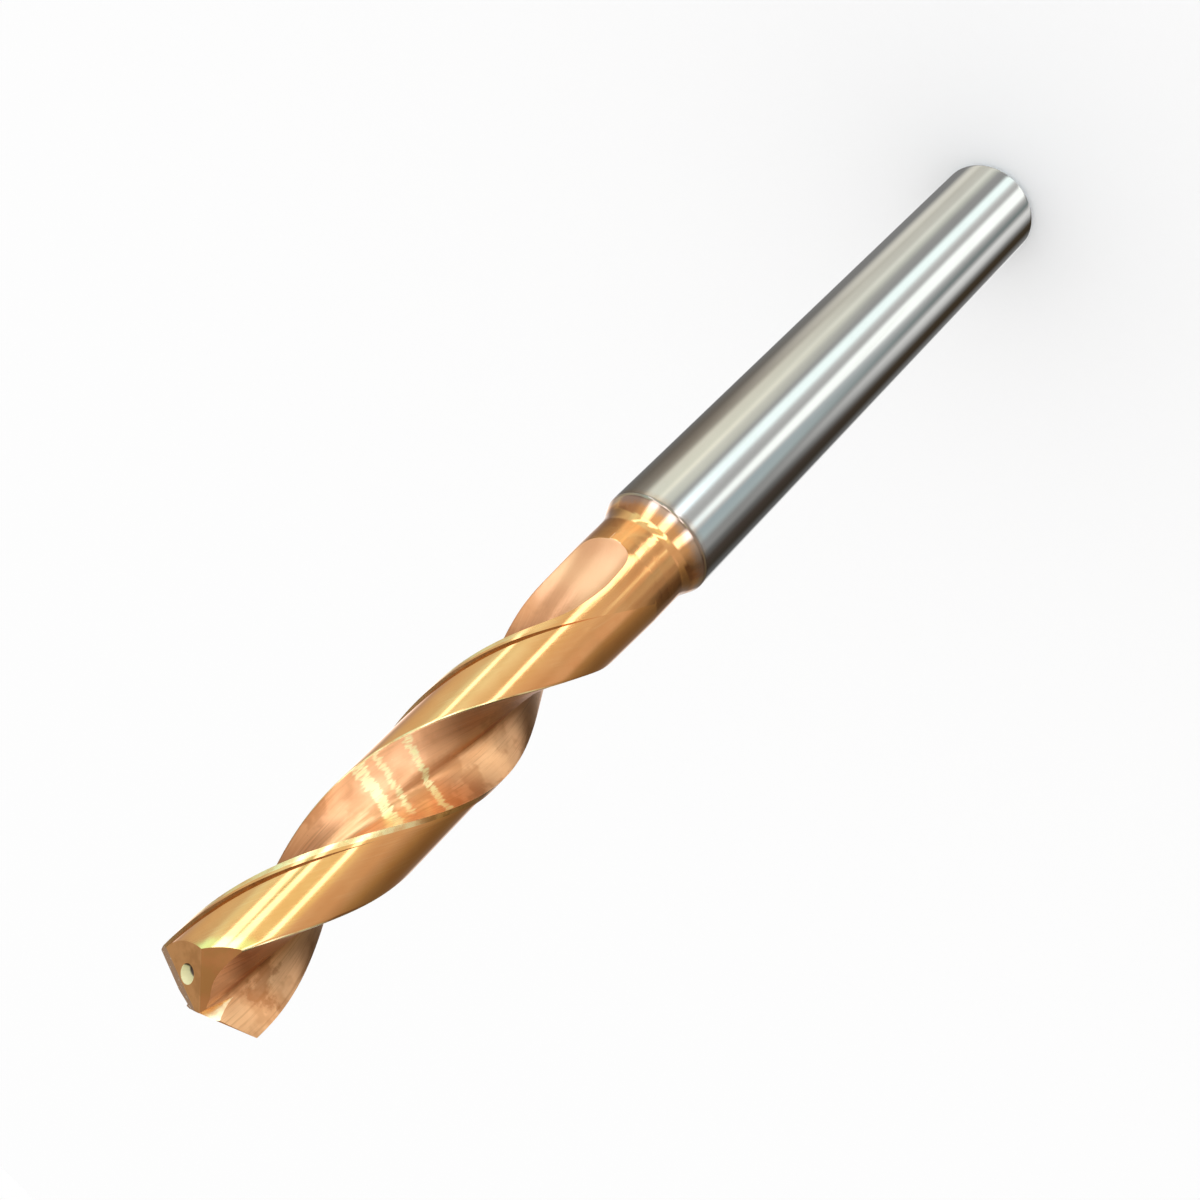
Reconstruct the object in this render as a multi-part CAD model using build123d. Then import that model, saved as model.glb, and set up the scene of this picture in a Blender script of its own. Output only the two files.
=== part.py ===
from build123d import *
import os
from math import sin, cos, tan, asin, radians, degrees, pi

# Solid carbide twist drill with two flutes, two helical coolant channels and a
# 140 degree point. One ground piece. It stands on the rear face of its shank,
# the point is up, and the drill axis is the Z axis. Millimetres.

# ---------------------------------------------------------------- dimensions
CUT_D = 8.5            # diameter over the margins
SHANK_D = 10.0         # plain cylindrical shank
OVERALL = 107.0        # rear face to the highest point of the tip
SHANK_LEN = 57.0       # rear face to the end of the full shank diameter
CONE_ANGLE = 24.0      # half angle of the step between shank and neck
CONE_FILLET = 3.0      # concave radius at the foot of the step
CONE_EDGE = 0.9        # convex radius at the shank end of the step
REAR_CHAMFER = 0.6     # rear edge
LEAD = 48.0            # lead of the flutes and of the coolant channels
POINT_ANGLE = 140.0    # included angle over the lips
LIP_AHEAD = 0.595      # each lip lies this far ahead of the centre line
PRIMARY_WIDTH = 0.98   # width of the first flank facet
PRIMARY_RELIEF = 12.0  # slope of the first facet
SECOND_RELIEF = 27.5   # slope of the second facet
HEEL_RELIEF = 51.8     # slope of the heel facet
MARGIN_DEG = 9.5       # angle covered by the margin behind the leading edge
LAND_DEG = 76.0        # angle from the leading edge to the heel
RELIEF_R = 0.950       # land radius behind the margin, as a share of the radius
COOLANT_D = 1.25       # coolant channels
COOLANT_R = 2.15       # distance of the channels from the axis
COOLANT_BEHIND = 44.0  # angle of the channels behind the leading edge

R = CUT_D / 2.0
RS = SHANK_D / 2.0
LIP_DEG = degrees(asin(LIP_AHEAD / R))       # angle of the outer lip corner
TAN_P = tan(radians(90.0 - POINT_ANGLE / 2.0))
# height of the outer lip corners: the chisel lies behind the lips
CENTRE_RISE = TAN_P * R * cos(radians(LIP_DEG)) - LIP_AHEAD * tan(radians(PRIMARY_RELIEF))
Z_CORNER = OVERALL - CENTRE_RISE

# Flute section: angle ahead of the leading edge and radius, as shares of R.
FLUTE = [(-1.2, 1.16), (-0.4, 1.07), (0.0, 1.00), (0.4, 0.90), (1.0, 0.78), (2.6, 0.64),
         (6.4, 0.50), (14.0, 0.375), (27.0, 0.295), (41.0, 0.278), (56.0, 0.320),
         (70.0, 0.385), (82.0, 0.460), (91.0, 0.565), (98.0, 0.735), (102.5, 0.910),
         (105.0, 1.03), (107.0, 1.14)]
FLUTE_MID = 51.5       # middle of the flute, ahead of the leading edge

# Run-out of the flute towards the neck, measured from the lip corners down:
# distance, depth factor, width factor, lift of the section, share of R
RUNOUT = [(33.0, 1.00, 1.00, 0.000), (34.5, 0.97, 0.985, 0.000), (36.0, 0.86, 0.93, 0.000),
          (37.5, 0.68, 0.82, 0.000), (39.0, 0.52, 0.76, 0.006), (40.5, 0.42, 0.75, 0.020),
          (41.8, 0.36, 0.74, 0.055), (42.8, 0.34, 0.73, 0.110), (43.6, 0.33, 0.72, 0.190),
          (44.6, 0.33, 0.72, 0.330)]
TWIST_FADE = (36.5, 40.5)   # over this stretch the helix of the flute dies out


def twist(dist):
    """Turn of the section about Z at a distance below the lip corners, degrees."""
    a, b = TWIST_FADE
    if dist <= a:
        t = dist
    elif dist >= b:
        t = a + (b - a) / 2.0
    else:
        t = dist - (dist - a) ** 2 / (2.0 * (b - a))
    return -360.0 * t / LEAD


def lerp(table, x):
    if x <= table[0][0]:
        return table[0][1:]
    for p, q in zip(table, table[1:]):
        if x <= q[0]:
            s = (x - p[0]) / (q[0] - p[0])
            return tuple(u + (v - u) * s for u, v in zip(p[1:], q[1:]))
    return table[-1][1:]


def polar(radius, deg, z):
    return (radius * cos(radians(deg)), radius * sin(radians(deg)), z)


def flute_section(dist, lead_deg):
    """Closed wire of the flute cutter at a distance below the lip corners."""
    z = Z_CORNER - dist
    k, kw, lift = lerp(RUNOUT, dist)
    base = lead_deg + twist(dist)
    pts = []
    for ang, rad in FLUTE:
        a = FLUTE_MID + (ang - FLUTE_MID) * kw
        r = 1.0 - (1.0 - rad) * k + lift if rad < 1.0 else rad + lift
        pts.append(polar(R * r, base + a, z))
    a0 = base + FLUTE_MID + (FLUTE[0][0] - FLUTE_MID) * kw
    a1 = base + FLUTE_MID + (FLUTE[-1][0] - FLUTE_MID) * kw
    far = R * 1.62 + R * lift
    curve = Edge.make_spline([Vector(*p) for p in pts])
    arc = Edge.make_three_point_arc(Vector(*polar(far, a1, z)),
                                    Vector(*polar(far, (a0 + a1) / 2.0, z)),
                                    Vector(*polar(far, a0, z)))
    e1 = Edge.make_line(Vector(*pts[-1]), Vector(*polar(far, a1, z)))
    e2 = Edge.make_line(Vector(*polar(far, a0, z)), Vector(*pts[0]))
    return Wire([curve, e1, arc, e2])


def relief_section(dist, lead_deg):
    """Closed wire that lowers the land behind the margin."""
    z = Z_CORNER - dist
    lower = lerp([(37.0, RELIEF_R), (43.5, 1.004)], dist)[0]
    base = lead_deg - 360.0 * dist / LEAD
    a0, a1 = base - MARGIN_DEG, base - LAND_DEG - 28.0
    am = (a0 + a1) / 2.0
    far = R * 1.25
    inner = Edge.make_three_point_arc(Vector(*polar(R * lower, a0, z)),
                                      Vector(*polar(R * lower, am, z)),
                                      Vector(*polar(R * lower, a1, z)))
    outer = Edge.make_three_point_arc(Vector(*polar(far, a1, z)),
                                      Vector(*polar(far, am, z)),
                                      Vector(*polar(far, a0, z)))
    e1 = Edge.make_line(Vector(*polar(R * lower, a1, z)), Vector(*polar(far, a1, z)))
    e2 = Edge.make_line(Vector(*polar(far, a0, z)), Vector(*polar(R * lower, a0, z)))
    return Wire([inner, e1, outer, e2])


# ---------------------------------------------------------------- turned body
cone_len = (RS - R) / tan(radians(CONE_ANGLE))
with BuildSketch(Plane.XZ) as profile:
    with BuildLine():
        Polyline((0, 0), (RS - REAR_CHAMFER, 0), (RS, REAR_CHAMFER), (RS, SHANK_LEN),
                 (R, SHANK_LEN + cone_len), (R, OVERALL + 2.0), (0, OVERALL + 2.0), (0, 0))
    make_face()
face = profile.sketch.face()
foot = face.vertices().sort_by(lambda v: abs(v.X - R) + abs(v.Z - SHANK_LEN - cone_len))[0]
face = face.fillet_2d(CONE_FILLET, [foot])
edge = face.vertices().sort_by(lambda v: abs(v.X - RS) + abs(v.Z - SHANK_LEN))[0]
face = face.fillet_2d(CONE_EDGE, [edge])
drill = revolve(face, axis=Axis.Z)

# ---------------------------------------------------------------- flutes
top = -4.0                                    # the cutters start above the tip
steps = [top + 1.25 * i for i in range(int((33.0 - top) / 1.25) + 1)]
steps = [s for s in steps if s < 32.6] + [row[0] for row in RUNOUT]
for side in (0.0, 180.0):
    cutter = Solid.make_loft([flute_section(s, LIP_DEG + side) for s in steps])
    drill = drill - cutter

# ---------------------------------------------------------------- body clearance
steps = [top + 1.5 * i for i in range(int((37.0 - top) / 1.5) + 1)] + [38.5, 40.0, 41.5, 43.5]
for side in (0.0, 180.0):
    cutter = Solid.make_loft([relief_section(s, LIP_DEG + side) for s in steps])
    drill = drill - cutter

# ---------------------------------------------------------------- point
t1, t2, t3 = (tan(radians(a)) for a in (PRIMARY_RELIEF, SECOND_RELIEF, HEEL_RELIEF))
xc = R * cos(radians(LIP_DEG))


def facet(slope_x, slope_y, x0, y0, z0, turn):
    """Half-space below z = z0 - slope_x (x - x0) + slope_y (y - y0)."""
    n = Vector(slope_x, -slope_y, 1.0).normalized()
    o = Vector(x0, y0, z0)
    n, o = n.rotate(Axis.Z, turn), o.rotate(Axis.Z, turn)
    return Plane(origin=o, z_dir=n)


y2 = LIP_AHEAD - PRIMARY_WIDTH
z2 = Z_CORNER + TAN_P * xc - t1 * PRIMARY_WIDTH
for turn in (0.0, 180.0):
    first = facet(TAN_P, t1, xc, LIP_AHEAD, Z_CORNER, turn)
    second = facet(TAN_P, t2, 0.0, y2, z2, turn)
    heel = facet(-0.40, t3, 0.467 * R, LIP_AHEAD - 0.967 * R, Z_CORNER - 0.2835 * R, turn)
    for pl in (first, second, heel):
        drill = split(drill, bisect_by=pl, keep=Keep.BOTTOM)

# ---------------------------------------------------------------- web thinning
# A V-shaped gash beside each inner lip end thins the web. Its root starts close
# to the chisel edge and runs steeply down into the flute.
root = Vector(0.64, 0.35, Z_CORNER + 0.905)
run = Vector(0.353, 0.093, -0.931)
lip_wall = run.cross(Vector(0.31, 0.105, -0.09)).normalized() * -1.0
heel_wall = run.cross(Vector(0.45, 0.70, -1.14)).normalized()
for turn in (0.0, 180.0):
    wedge = Pos(0, 0, Z_CORNER) * Box(4 * R, 4 * R, 4 * R)
    for normal in (lip_wall, heel_wall):
        pl = Plane(origin=root.rotate(Axis.Z, turn), z_dir=normal.rotate(Axis.Z, turn))
        wedge = split(wedge, bisect_by=pl, keep=Keep.TOP)
    drill = drill - wedge

# ---------------------------------------------------------------- coolant channels
# Each channel is cut in lengths of a sixth of a turn or so.
n_len = 12
z_lo, z_hi = -1.0, OVERALL + 1.0
step = (z_hi - z_lo) / n_len
for side in (0.0, 180.0):
    a0 = LIP_DEG - COOLANT_BEHIND + side
    for i in range(n_len):
        z0 = z_lo + i * step
        c = polar(COOLANT_R, a0 + 360.0 * (z0 - Z_CORNER) / LEAD, z0)
        bore_face = (Plane(origin=c) * Circle(COOLANT_D / 2.0)).faces()[0]
        bore = Solid.extrude_linear_with_rotation(
            bore_face, center=Vector(0, 0, z0), normal=Vector(0, 0, step),
            angle=360.0 * step / LEAD)
        drill = drill - bore

solid = drill.solids().sort_by(lambda s: s.volume)[-1]
print("solids", len(drill.solids()), "volume", solid.volume, "valid", solid.is_valid)
print("bbox", solid.bounding_box())

os.makedirs("parts", exist_ok=True)
export_step(solid, "parts/carbide_drill_bit.step")
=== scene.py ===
import bpy, bmesh
import numpy as np
from math import sin, cos, tan, asin, atan2, sqrt, radians, degrees, pi
from mathutils import Vector, Matrix


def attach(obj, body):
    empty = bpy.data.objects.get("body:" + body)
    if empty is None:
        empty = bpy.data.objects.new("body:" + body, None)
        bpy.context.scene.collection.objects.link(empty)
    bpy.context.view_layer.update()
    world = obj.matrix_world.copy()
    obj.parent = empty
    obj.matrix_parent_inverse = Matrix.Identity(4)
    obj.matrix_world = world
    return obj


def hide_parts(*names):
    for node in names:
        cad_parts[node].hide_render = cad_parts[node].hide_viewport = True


# Solid carbide twist drill: one ground piece, two flutes, copper coloured coating
# on the fluted end, bare ground shank. It stands on its rear face, point up.
# The mesh is built in millimetres and scaled to metres at the end.

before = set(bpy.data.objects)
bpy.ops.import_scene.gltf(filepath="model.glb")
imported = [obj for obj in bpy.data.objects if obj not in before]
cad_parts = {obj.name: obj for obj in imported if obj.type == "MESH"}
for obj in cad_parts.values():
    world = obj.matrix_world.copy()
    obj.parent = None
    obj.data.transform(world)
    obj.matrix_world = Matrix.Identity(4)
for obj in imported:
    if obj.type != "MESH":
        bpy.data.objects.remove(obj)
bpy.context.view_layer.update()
NODE = "carbide_drill_bit"
sc = bpy.context.scene

# ------------------------------------------------------------------ dimensions
R, RS, OVERALL, SHANK_LEN = 4.25, 5.0, 107.0, 57.0
CONE_ANGLE, CONE_FILLET, CONE_EDGE = 24.0, 3.0, 0.9
LEAD = 48.0
LIP_AHEAD = 0.595
LIP_DEG = degrees(asin(LIP_AHEAD / R))
TAN_P = tan(radians(20.0))
XC = R * cos(radians(LIP_DEG))
Z_CORNER = OVERALL - (TAN_P * XC - LIP_AHEAD * tan(radians(12.0)))
MARGIN_DEG, RELIEF_R = 9.5, 0.950
COOLANT_R, COOLANT_HOLE, COOLANT_BEHIND = 2.15, 0.625, 44.0

FLUTE = [(-1.2, 1.16), (-0.4, 1.07), (0.0, 1.00), (0.4, 0.90), (1.0, 0.78), (2.6, 0.64),
         (6.4, 0.50), (14.0, 0.375), (27.0, 0.295), (41.0, 0.278), (56.0, 0.320),
         (70.0, 0.385), (82.0, 0.460), (91.0, 0.565), (98.0, 0.735), (102.5, 0.910),
         (105.0, 1.03), (107.0, 1.14)]
FLUTE_MID = 51.5
RUNOUT = [(33.0, 1.00, 1.00, 0.000), (34.5, 0.97, 0.985, 0.000), (36.0, 0.86, 0.93, 0.000),
          (37.5, 0.68, 0.82, 0.000), (39.0, 0.52, 0.76, 0.006), (40.5, 0.42, 0.75, 0.020),
          (41.8, 0.36, 0.74, 0.055), (42.8, 0.34, 0.73, 0.110), (43.6, 0.33, 0.72, 0.190),
          (44.6, 0.33, 0.72, 0.330)]
TWIST_FADE = (36.5, 40.5)

# material slots of the piece
M_FLUTE, M_LAND, M_FLANK, M_SHANK, M_BORE, M_REAR, M_LIP, M_MARGIN, M_STEP, M_GASH = range(10)


def lerp(table, x):
    if x <= table[0][0]:
        return table[0][1:]
    for p, q in zip(table, table[1:]):
        if x <= q[0]:
            s = (x - p[0]) / (q[0] - p[0])
            return tuple(u + (v - u) * s for u, v in zip(p[1:], q[1:]))
    return table[-1][1:]


def smooth_rows(table, x, reach=0.9):
    """The table's value at x, averaged over a short stretch so that the run-out has no kinks."""
    xs = np.linspace(x - reach, x + reach, 9)
    w = np.cos(np.linspace(-1, 1, 9) * pi / 2.2)
    v = np.array([lerp(table, t) for t in xs])
    return tuple((v * w[:, None]).sum(0) / w.sum())


def twist(dist):
    a, b = TWIST_FADE
    if dist <= a:
        t = dist
    elif dist >= b:
        t = a + (b - a) / 2.0
    else:
        t = dist - (dist - a) ** 2 / (2.0 * (b - a))
    return -360.0 * t / LEAD


def cubic(x, y):
    """Natural cubic spline through (x, y); y may have several columns."""
    x, y = np.asarray(x, float), np.asarray(y, float)
    n = len(x)
    h = np.diff(x)
    A = np.eye(n)
    b = np.zeros_like(y)
    for i in range(1, n - 1):
        A[i, i - 1], A[i, i], A[i, i + 1] = h[i - 1], 2 * (h[i - 1] + h[i]), h[i]
        b[i] = 6 * ((y[i + 1] - y[i]) / h[i] - (y[i] - y[i - 1]) / h[i - 1])
    m = np.linalg.solve(A, b)

    def f(t):
        i = np.clip(np.searchsorted(x, t) - 1, 0, n - 2)
        d = t - x[i]
        hh = h[i]
        if y.ndim == 2:
            d, hh = d[:, None], hh[:, None]
        return (y[i] + d * ((y[i + 1] - y[i]) / hh - hh * (2 * m[i] + m[i + 1]) / 6)
                + d * d * m[i] / 2 + d ** 3 * (m[i + 1] - m[i]) / (6 * hh))
    return f


def profile(z):
    """Radius of the turned body at height z."""
    if z < 0.6:
        return RS - 0.6 + z
    k = tan(radians(CONE_ANGLE))
    e = CONE_EDGE * tan(radians(CONE_ANGLE / 2))
    if z <= SHANK_LEN - e:
        return RS
    if z <= SHANK_LEN + e * cos(radians(CONE_ANGLE)):
        return RS - CONE_EDGE + sqrt(CONE_EDGE ** 2 - (z - SHANK_LEN + e) ** 2)
    foot = SHANK_LEN + (RS - R) / k
    t = CONE_FILLET * tan(radians(CONE_ANGLE / 2))
    if z >= foot + t:
        return R
    if z >= foot - t * cos(radians(CONE_ANGLE)):
        return R + CONE_FILLET - sqrt(CONE_FILLET ** 2 - (foot + t - z) ** 2)
    return RS - (z - SHANK_LEN) * k


# ------------------------------------------------------------------ materials
class Tree:
    """Short hand for shader nodes."""

    def __init__(self, nt):
        self.nt = nt

    def node(self, kind, **props):
        n = self.nt.nodes.new("ShaderNode" + kind)
        for k, v in props.items():
            setattr(n, k, v)
        return n

    def put(self, socket, value):
        if isinstance(value, bpy.types.NodeSocket):
            self.nt.links.new(value, socket)
        elif value is not None:
            socket.default_value = value

    def math(self, op, a, b=None, c=None, clamp=False):
        n = self.node("Math", operation=op, use_clamp=clamp)
        for i, v in enumerate((a, b, c)):
            if v is not None:
                self.put(n.inputs[i], v)
        return n.outputs[0]

    def mix(self, f, a, b):
        n = self.node("Mix", data_type="RGBA")
        self.put(n.inputs[0], f)
        self.put(n.inputs[6], a)
        self.put(n.inputs[7], b)
        return n.outputs[2]

    def noise(self, vec, scale=1.0, detail=2.0, rough=0.5):
        n = self.node("TexNoise")
        self.put(n.inputs["Vector"], vec)
        n.inputs["Scale"].default_value = scale
        n.inputs["Detail"].default_value = detail
        n.inputs["Roughness"].default_value = rough
        return n.outputs["Fac"]

    def stretch(self, vec, s):
        n = self.node("VectorMath", operation="MULTIPLY")
        self.put(n.inputs[0], vec)
        n.inputs[1].default_value = s
        return n.outputs[0]

    def band(self, x, lo, hi, soft):
        """1 between lo and hi, soft edges."""
        a = self.node("MapRange", interpolation_type="SMOOTHSTEP")
        self.put(a.inputs["Value"], x)
        a.inputs["From Min"].default_value, a.inputs["From Max"].default_value = lo - soft, lo + soft
        b = self.node("MapRange", interpolation_type="SMOOTHSTEP")
        self.put(b.inputs["Value"], x)
        b.inputs["From Min"].default_value, b.inputs["From Max"].default_value = hi - soft, hi + soft
        b.inputs["To Min"].default_value, b.inputs["To Max"].default_value = 1.0, 0.0
        return self.math("MULTIPLY", a.outputs[0], b.outputs[0])

    def rise(self, x, lo, hi):
        a = self.node("MapRange", interpolation_type="SMOOTHSTEP")
        self.put(a.inputs["Value"], x)
        a.inputs["From Min"].default_value, a.inputs["From Max"].default_value = lo, hi
        return a.outputs[0]


def new_material(name):
    m = bpy.data.materials.new(name)
    m.use_nodes = True
    t = Tree(m.node_tree)
    b = m.node_tree.nodes["Principled BSDF"]
    b.inputs["Metallic"].default_value = 1.0
    return m, t, b


def coords(t):
    tc = t.node("TexCoord")
    sep = t.node("SeparateXYZ")
    t.put(sep.inputs[0], tc.outputs["Object"])
    uvn = t.node("UVMap", uv_map="grain")
    us = t.node("SeparateXYZ")
    t.put(us.inputs[0], uvn.outputs[0])
    across = t.math("MULTIPLY", us.outputs["X"], 10.0)     # mm
    down = t.math("MULTIPLY", us.outputs["Y"], 10.0)
    return tc.outputs["Object"], sep.outputs["Z"], across, down


def combine(t, x, y, z=0.0):
    n = t.node("CombineXYZ")
    for i, v in enumerate((x, y, z)):
        t.put(n.inputs[i], v)
    return n.outputs[0]


def bump(t, height, strength, distance=0.00002, normal=None):
    n = t.node("Bump")
    n.inputs["Strength"].default_value = strength
    n.inputs["Distance"].default_value = distance
    t.put(n.inputs["Height"], height)
    if normal is not None:
        t.put(n.inputs["Normal"], normal)
    return n.outputs[0]


def height_mm(t, z):
    return t.math("MULTIPLY", z, 1000.0)


def coating(name, tone, deep, rough, groove, groove_dist):
    """Copper coloured hard coating over ground carbide, with the grinding lines that show through."""
    m, t, b = new_material(name)
    obj, z, across, down = coords(t)
    lines = t.noise(combine(t, t.math("MULTIPLY", across, 9.0), t.math("MULTIPLY", down, 0.22)), 1.0, 3.0, 0.6)
    cloud = t.noise(obj, 330.0, 3.0, 0.55)
    cloud2 = t.noise(obj, 1500.0, 2.0, 0.5)
    f = t.rise(t.math("ADD", t.math("MULTIPLY", cloud, 0.7), t.math("MULTIPLY", lines, 0.3)), 0.34, 0.66)
    col = t.mix(f, deep, tone)
    col = t.mix(t.math("MULTIPLY", t.rise(lines, 0.55, 0.8), 0.25), col, (0.97, 0.60, 0.30, 1))
    rr = t.math("MULTIPLY_ADD", cloud2, 0.08, rough - 0.04)
    rr = t.math("MULTIPLY_ADD", lines, 0.06, t.math("SUBTRACT", rr, 0.03))
    return m, t, b, (obj, z, across, down, lines, cloud, cloud2), col, rr, bump(t, lines, groove, groove_dist)


finish = [None] * 10

# Flute: ground by a wheel that runs along it, so the finish is brushed one way. A few jagged pale cream
# lines across the flute are painted highlights, standing where the lamps' reflections cross it.
m, t, b, (obj, z, across, down, lines, cloud, cloud2), col, rr, nrm = coating(
    "coating_flute", (0.93, 0.46, 0.21, 1), (0.86, 0.385, 0.16, 1), 0.30, 0.45, 0.00003)
# painted light: the rake side of the flute, next to the cutting edge, is painted paler to cancel the deep orange its
# reflections of the flute give it
rake_painted_light = t.math("SUBTRACT", 1.0, t.rise(across, 2.0, 3.4))
col = t.mix(t.math("MULTIPLY", rake_painted_light, 0.8), col, (0.99, 0.58, 0.30, 1))
zmm = height_mm(t, z)
clean = t.rise(zmm, 62.0, 74.0)
wall = t.math("MULTIPLY", t.rise(across, 3.4, 4.6), t.band(zmm, 81.5, 90.0, 1.5))
col = t.mix(t.math("MULTIPLY", wall, 0.8), col, (1.0, 0.50, 0.235, 1))
clean = t.math("MULTIPLY", clean, t.math("MULTIPLY_ADD", wall, -0.6, 1.0))
scratch = t.noise(combine(t, t.math("MULTIPLY", across, 4.6), t.math("MULTIPLY", down, 0.13), 1.0), 1.0, 4.0, 0.68)
col = t.mix(t.math("MULTIPLY", t.math("SUBTRACT", 1.0, t.rise(scratch, 0.36, 0.50)), t.math("MULTIPLY", clean, 0.36)), col, (0.52, 0.20, 0.07, 1))
col = t.mix(t.math("MULTIPLY", t.rise(scratch, 0.54, 0.68), t.math("MULTIPLY_ADD", clean, 0.3, 0.06)), col, (1.0, 0.60, 0.32, 1))
patch = t.noise(obj, 390.0, 3.0, 0.6)
col = t.mix(t.math("MULTIPLY", t.math("SUBTRACT", 1.0, t.rise(patch, 0.38, 0.50)), t.math("MULTIPLY_ADD", clean, 0.38, 0.08)), col, (0.56, 0.22, 0.08, 1))
zmm = height_mm(t, z)
lean = t.math("ADD", t.math("MULTIPLY", t.math("SUBTRACT", 6.2, across), 0.17),
              t.math("MULTIPLY", t.math("MAXIMUM", t.math("SUBTRACT", 3.9, across), 0.0), 0.16))
station = t.math("SUBTRACT", zmm, lean)
jag = t.noise(combine(t, t.math("MULTIPLY", across, 2.6), t.math("MULTIPLY", down, 0.35), 3.0), 1.0, 3.0, 0.62)
fine = t.noise(combine(t, t.math("MULTIPLY", across, 7.5), t.math("MULTIPLY", down, 0.9), 8.0), 1.0, 2.0, 0.6)
station = t.math("ADD", station, t.math("MULTIPLY", t.math("SUBTRACT", jag, 0.5), 1.2))
station = t.math("ADD", station, t.math("MULTIPLY", t.math("SUBTRACT", fine, 0.5), 0.5))
# the run-out is smooth and pale
low = t.math("SUBTRACT", 1.0, t.rise(zmm, 65.0, 74.0))
col = t.mix(t.math("MULTIPLY", low, 0.7), col, (0.97, 0.52, 0.26, 1))
# a darker, cloudy patch on the rake face beside the point
blot = None
for place, reach in (((-0.00225, 0.0002, 0.1032), 0.95), ((-0.0016, 0.00015, 0.1021), 0.85), ((-0.0031, 0.0006, 0.1033), 0.6)):
    spot = t.node("VectorMath", operation="DISTANCE")
    t.put(spot.inputs[0], obj)
    spot.inputs[1].default_value = place
    k = t.math("MULTIPLY_ADD", spot.outputs["Value"], 1000.0, -reach)
    blot = k if blot is None else t.math("MINIMUM", blot, k)
cloudy = t.noise(obj, 820.0, 4.0, 0.65)
blot = t.math("ADD", blot, t.math("MULTIPLY", t.math("SUBTRACT", cloudy, 0.5), 3.2))
col = t.mix(t.math("MULTIPLY", t.math("SUBTRACT", 1.0, t.rise(blot, -0.25, 0.35)), 0.66), col, (0.46, 0.165, 0.055, 1))
# painted highlights: three jagged lines across the flute, painted pale cream and a little rougher
painted_highlight_marks = None
for centre, half, power in ((88.42, 0.40, 1.0), (87.12, 0.20, 0.8), (84.85, 0.26, 0.95)):
    k = t.math("MULTIPLY", t.band(station, centre - half, centre + half, 0.12), power)
    if centre == 87.12:
        k = t.math("MULTIPLY", k, t.rise(across, 0.9, 1.9))
    painted_highlight_marks = k if painted_highlight_marks is None else t.math("MAXIMUM", painted_highlight_marks, k)
painted_highlight_marks = t.math("MULTIPLY", painted_highlight_marks, t.rise(fine, 0.30, 0.52))
col = t.mix(painted_highlight_marks, col, (1.0, 0.86, 0.42, 1))
t.put(b.inputs["Base Color"], col)
t.put(b.inputs["Roughness"], t.math("ADD", rr, t.math("MULTIPLY", painted_highlight_marks, 0.12)))
# the coating lies matt on the heel side of the flute, beside the point and below the painted highlight lines
matt = t.math("MULTIPLY", t.rise(across, 3.0, 4.2), t.math("MAXIMUM", t.math("MULTIPLY", t.rise(zmm, 103.0, 105.2), 0.42),
                                                        t.math("MULTIPLY", t.band(zmm, 82.5, 88.5, 1.5), 0.20)))
t.put(b.inputs["Metallic"], t.math("SUBTRACT", 1.0, t.math("MAXIMUM", matt, t.math("MULTIPLY", low, 0.5))))
b.inputs["Anisotropic"].default_value = 0.85
t.put(b.inputs["Tangent"], t.node("Tangent", direction_type="UV_MAP", uv_map="wheel").outputs[0])
t.put(b.inputs["Normal"], nrm)
finish[M_FLUTE] = m

# Lands, neck and cone. The coating ends on the cone in a soft, uneven line.
m, t, b, (obj, z, across, down, lines, cloud, cloud2), col, rr, nrm = coating(
    "coating_land", (0.91, 0.44, 0.165, 1), (0.87, 0.385, 0.135, 1), 0.10, 0.2, 0.00001)
zmm = height_mm(t, z)
ragged = t.noise(obj, 900.0, 4.0, 0.65)
line = t.math("ADD", zmm, t.math("MULTIPLY", t.math("SUBTRACT", ragged, 0.5), 1.1))
bare = t.math("SUBTRACT", 1.0, t.rise(line, 57.25, 58.05))
col = t.mix(bare, col, (0.65, 0.44, 0.30, 1))
# painted shade: the rounded edge at the end of the shank is painted dark brown to dim the highlight it catches
rim_painted_shade = t.band(zmm, 56.76, 57.16, 0.10)
col = t.mix(t.math("MULTIPLY", rim_painted_shade, 0.64), col, (0.26, 0.18, 0.13, 1))
sep = t.node("SeparateXYZ")
t.put(sep.inputs[0], obj)
# painted shade: the coating is painted darker at the foot of the step, towards the sides
foot = t.math("MULTIPLY", t.band(line, 58.0, 59.3, 0.35), t.math("MAXIMUM",
              t.math("MULTIPLY", t.rise(sep.outputs["X"], 0.0029, 0.0039), 0.85),
              t.math("MULTIPLY", t.rise(t.math("MULTIPLY", sep.outputs["X"], -1.0), 0.0024, 0.0034), 0.5)))
col = t.mix(foot, col, (0.26, 0.11, 0.04, 1))
# painted highlight: the land along its edge to the heel facet of the point is painted pale cream
side = t.math("MULTIPLY", t.math("SIGN", sep.outputs["Y"]), -1000.0)
edge_z = t.math("MULTIPLY_ADD", t.math("MULTIPLY", sep.outputs["X"], side), 0.40, Z_CORNER - 0.2835 * R - 0.40 * 0.467 * R)
behind = t.math("MULTIPLY_ADD", t.math("ABSOLUTE", sep.outputs["Y"]), -1000.0, 0.967 * R - LIP_AHEAD)
edge_z = t.math("ADD", edge_z, t.math("MULTIPLY", behind, tan(radians(51.8))))
below = t.math("ADD", t.math("SUBTRACT", edge_z, zmm), t.math("MULTIPLY", t.math("SUBTRACT", ragged, 0.5), 1.2))
col = t.mix(t.math("MULTIPLY", t.math("SUBTRACT", 1.0, t.rise(below, 0.35, 1.25)), 0.85), col, (0.95, 0.74, 0.25, 1))
t.put(b.inputs["Base Color"], col)
t.put(b.inputs["Roughness"], rr)
t.put(b.inputs["Normal"], nrm)
finish[M_LAND] = m

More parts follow.
